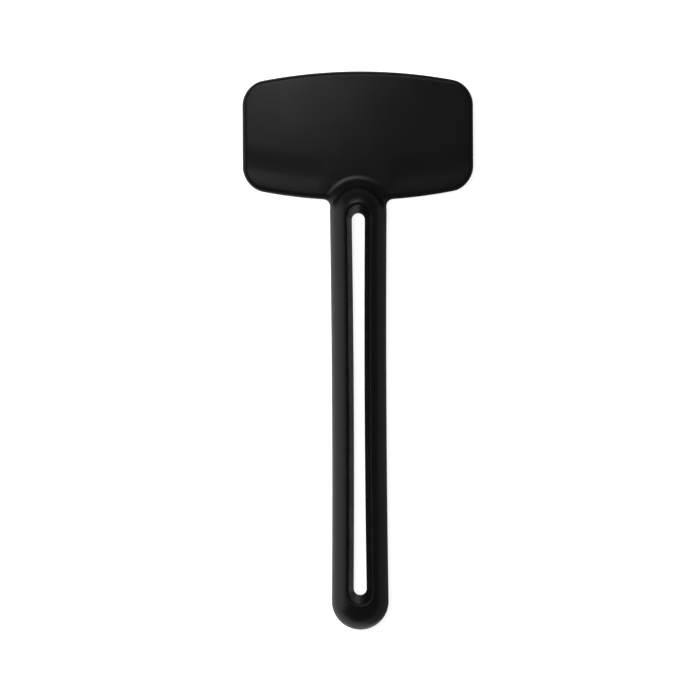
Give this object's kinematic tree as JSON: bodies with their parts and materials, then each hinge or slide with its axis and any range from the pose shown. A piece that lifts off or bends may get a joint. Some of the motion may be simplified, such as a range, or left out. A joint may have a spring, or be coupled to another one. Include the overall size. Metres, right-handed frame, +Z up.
{
  "type": "tube squeezer key",
  "caption": "Flat-headed winding key whose slotted round rod grips the end of a soft tube and rolls it up to squeeze out what is left.",
  "frame": {"origin": "middle of the key's box, at its lowest point, where the rod lies on the table", "axes": "+Y along the rod towards the thumb plate, +Z up, square to the thumb plate, +X across it"},
  "size_m": [0.0412, 0.1, 0.0101],
  "materials": {
    "black_plastic": "satin black moulded plastic, self-coloured"
  },
  "bodies": {
    "root": {"thumb_plate": "black_plastic", "rod_root": "black_plastic", "left_rail": "black_plastic", "right_rail": "black_plastic", "rod_tip": "black_plastic"}
  },
  "joints": []
}
